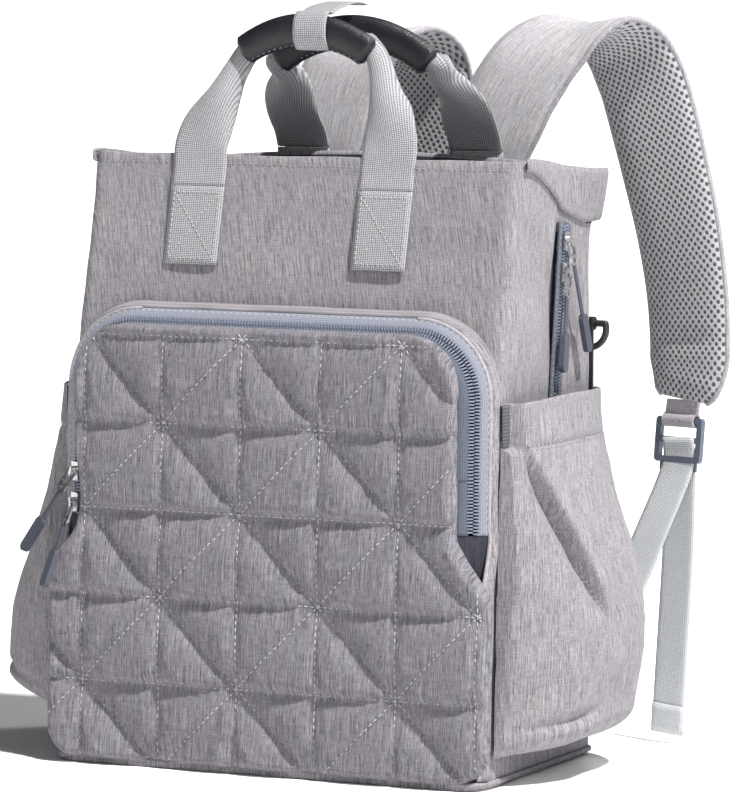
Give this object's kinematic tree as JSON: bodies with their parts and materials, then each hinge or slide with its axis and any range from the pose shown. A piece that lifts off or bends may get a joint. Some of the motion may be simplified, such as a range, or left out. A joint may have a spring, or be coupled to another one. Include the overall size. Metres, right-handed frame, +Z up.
{
  "type": "diaper bag",
  "caption": "Soft grey diaper backpack with an open mouth, quilted zip pocket, bulging side pockets, two carrying handles with leather grips and padded shoulder straps.",
  "frame": {"origin": "centre of the bag's base, on its underside", "axes": "+Z up, +X to the bag's right as seen from the front, the quilted pocket faces -Y"},
  "size_m": [0.4494, 0.2678, 0.4894],
  "materials": {
    "heather_fabric": "matt woven, fine vertical streaks",
    "quilted_fabric": "matt woven, quilted with dashed stitching",
    "strap_fabric": "padded, woven outside and air mesh inside",
    "air_mesh": "spacer mesh with rows of holes",
    "lining_fabric": "thin smooth weave",
    "stiffener": "plain board",
    "webbing": "ribbed webbing",
    "strap_webbing": "ribbed webbing",
    "dark_webbing": "ribbed elastic and webbing",
    "leather": "semi-gloss grained leather",
    "zip_tape": "knitted tape",
    "zip_coil": "satin coil",
    "zip_metal": "plated die cast",
    "pull_rubber": "moulded grip on a woven cord",
    "dark_plastic": "satin moulding",
    "buckle_plastic": "satin moulding"
  },
  "bodies": {
    "bag": {"base_panel": "heather_fabric", "base_board": "stiffener", "front_wall": "heather_fabric", "back_wall": "heather_fabric", "side_wall_right": "heather_fabric", "side_wall_left": "heather_fabric", "lining": "lining_fabric", "rim_bands": "heather_fabric", "back_pad": "air_mesh", "pocket_gusset": "heather_fabric", "pocket_bellows": "lining_fabric", "pocket_lower_cover": "quilted_fabric", "front_zip_outer_tape": "zip_tape", "front_zip_outer_coil": "zip_coil", "front_zip_ends": "zip_coil", "side_zip_tapes": "zip_tape", "side_zip_coils": "zip_coil", "side_pocket_right": "heather_fabric", "side_pocket_left": "heather_fabric", "pocket_elastics": "dark_webbing", "handle_patches": "webbing", "strap_yoke": "heather_fabric", "lower_tabs": "heather_fabric", "ring_tabs": "dark_webbing", "strap_upper_right": "strap_fabric", "strap_upper_left": "strap_fabric", "lower_webbing_right": "strap_webbing", "lower_webbing_left": "strap_webbing"},
    "flap": {"pocket_flap": "quilted_fabric", "front_zip_inner_tape": "zip_tape", "front_zip_inner_coil": "zip_coil"},
    "closure_front": {"top_closure_front": "lining_fabric"},
    "closure_rear": {"top_closure_rear": "lining_fabric"},
    "front_handle": {"front_handle_webbing": "webbing", "front_grip": "leather", "handle_wrap": "webbing"},
    "rear_handle": {"rear_handle_webbing": "webbing", "rear_grip": "leather"},
    "strap_right": {"strap_lower_right": "strap_fabric", "strap_loop_right": "strap_webbing"},
    "buckle_right": {"buckle_right": "buckle_plastic"},
    "tail_right": {"webbing_tail_right": "strap_webbing"},
    "ring_right": {"ring_right": "dark_plastic"},
    "strap_left": {"strap_lower_left": "strap_fabric", "strap_loop_left": "strap_webbing"},
    "buckle_left": {"buckle_left": "buckle_plastic"},
    "tail_left": {"webbing_tail_left": "strap_webbing"},
    "ring_left": {"ring_left": "dark_plastic"},
    "slider_front_upper": {"slider_front_upper": "zip_metal"},
    "pull_front_upper": {"tab_front_upper": "zip_metal", "pull_front_upper": "pull_rubber"},
    "slider_front_lower": {"slider_front_lower": "zip_metal"},
    "pull_front_lower": {"tab_front_lower": "zip_metal", "pull_front_lower": "pull_rubber"},
    "slider_side_upper": {"slider_side_upper": "zip_metal"},
    "pull_side_upper": {"tab_side_upper": "zip_metal", "pull_side_upper": "pull_rubber"},
    "slider_side_lower": {"slider_side_lower": "zip_metal"},
    "pull_side_lower": {"tab_side_lower": "zip_metal", "pull_side_lower": "pull_rubber"}
  },
  "joints": [
    {"name": "flap_fold", "type": "hinge", "parent": "bag", "child": "flap", "pos_m": [0, -0.0915, 0.15011], "axis": [1, 0, 0], "range_deg": [0, 50]},
    {"name": "closure_front_fold", "type": "hinge", "parent": "bag", "child": "closure_front", "pos_m": [0, -0.03535, 0.3498], "axis": [-1, 0, 0], "range_deg": [0, 80]},
    {"name": "closure_rear_fold", "type": "hinge", "parent": "bag", "child": "closure_rear", "pos_m": [0, 0.0779, 0.3498], "axis": [1, 0, 0], "range_deg": [0, 80]},
    {"name": "front_handle_swing", "type": "hinge", "parent": "bag", "child": "front_handle", "pos_m": [0, -0.03803, 0.371], "axis": [1, 0, 0], "range_deg": [0, 110]},
    {"name": "rear_handle_swing", "type": "hinge", "parent": "bag", "child": "rear_handle", "pos_m": [0, 0.0851, 0.391], "axis": [-1, 0, 0], "range_deg": [0, 28]},
    {"name": "strap_right_swing", "type": "hinge", "parent": "bag", "child": "strap_right", "pos_m": [0.148, 0.146, 0.456], "axis": [1, 0, 0], "range_deg": [0, 30], "deforming": ["lower_webbing_right"]},
    {"name": "buckle_right_tilt", "type": "hinge", "parent": "strap_right", "child": "buckle_right", "pos_m": [0.18827, 0.14585, 0.21416], "axis": [0.9713, -0.238, 0], "range_deg": [0, 30]},
    {"name": "tail_right_swing", "type": "hinge", "parent": "buckle_right", "child": "tail_right", "pos_m": [0.18833, 0.14611, 0.18795], "axis": [0.9713, -0.238, 0], "range_deg": [0, 40]},
    {"name": "ring_right_swing", "type": "hinge", "parent": "bag", "child": "ring_right", "pos_m": [0.1465, 0.0887, 0.281], "axis": [1, 0, 0], "range_deg": [0, 100]},
    {"name": "strap_left_swing", "type": "hinge", "parent": "bag", "child": "strap_left", "pos_m": [0.001, 0.146, 0.45], "axis": [1, 0, 0], "range_deg": [0, 30], "deforming": ["lower_webbing_left"]},
    {"name": "buckle_left_tilt", "type": "hinge", "parent": "strap_left", "child": "buckle_left", "pos_m": [-0.04485, 0.14586, 0.21634], "axis": [0.9713, -0.238, 0], "range_deg": [0, 30]},
    {"name": "tail_left_swing", "type": "hinge", "parent": "buckle_left", "child": "tail_left", "pos_m": [-0.04478, 0.14612, 0.19013], "axis": [0.9713, -0.238, 0], "range_deg": [0, 40]},
    {"name": "ring_left_swing", "type": "hinge", "parent": "bag", "child": "ring_left", "pos_m": [-0.1465, 0.0887, 0.281], "axis": [1, 0, 0], "range_deg": [0, 100]},
    {"name": "slider_front_upper_travel", "type": "slide", "parent": "bag", "child": "slider_front_upper", "axis": [0, 0.03, 0.9996], "range_m": [-0.004, 0]},
    {"name": "pull_front_upper_lift", "type": "hinge", "parent": "slider_front_upper", "child": "pull_front_upper", "pos_m": [-0.14319, -0.08206, 0.18735], "axis": [-0.7483, 0.5359, 0.3908], "range_deg": [0, 60]},
    {"name": "slider_front_lower_travel", "type": "slide", "parent": "bag", "child": "slider_front_lower", "axis": [0, 0.03, 0.9996], "range_m": [0, 0.004]},
    {"name": "pull_front_lower_lift", "type": "hinge", "parent": "slider_front_lower", "child": "pull_front_lower", "pos_m": [-0.14319, -0.08266, 0.16736], "axis": [-0.8172, 0.5698, -0.0869], "range_deg": [0, 60]},
    {"name": "slider_side_upper_travel", "type": "slide", "parent": "bag", "child": "slider_side_upper", "axis": [0, 0.1358, 0.9907], "range_m": [0, 0.004]},
    {"name": "pull_side_upper_lift", "type": "hinge", "parent": "slider_side_upper", "child": "pull_side_upper", "pos_m": [0.15762, 0.03335, 0.33795], "axis": [0, -0.95, -0.3122], "range_deg": [0, 110]},
    {"name": "slider_side_lower_travel", "type": "slide", "parent": "bag", "child": "slider_side_lower", "axis": [0, 0.1358, 0.9907], "range_m": [-0.045, 0]},
    {"name": "pull_side_lower_lift", "type": "hinge", "parent": "slider_side_lower", "child": "pull_side_lower", "pos_m": [0.15762, 0.03063, 0.31814], "axis": [0, -0.9788, 0.2046], "range_deg": [0, 110]}
  ]
}
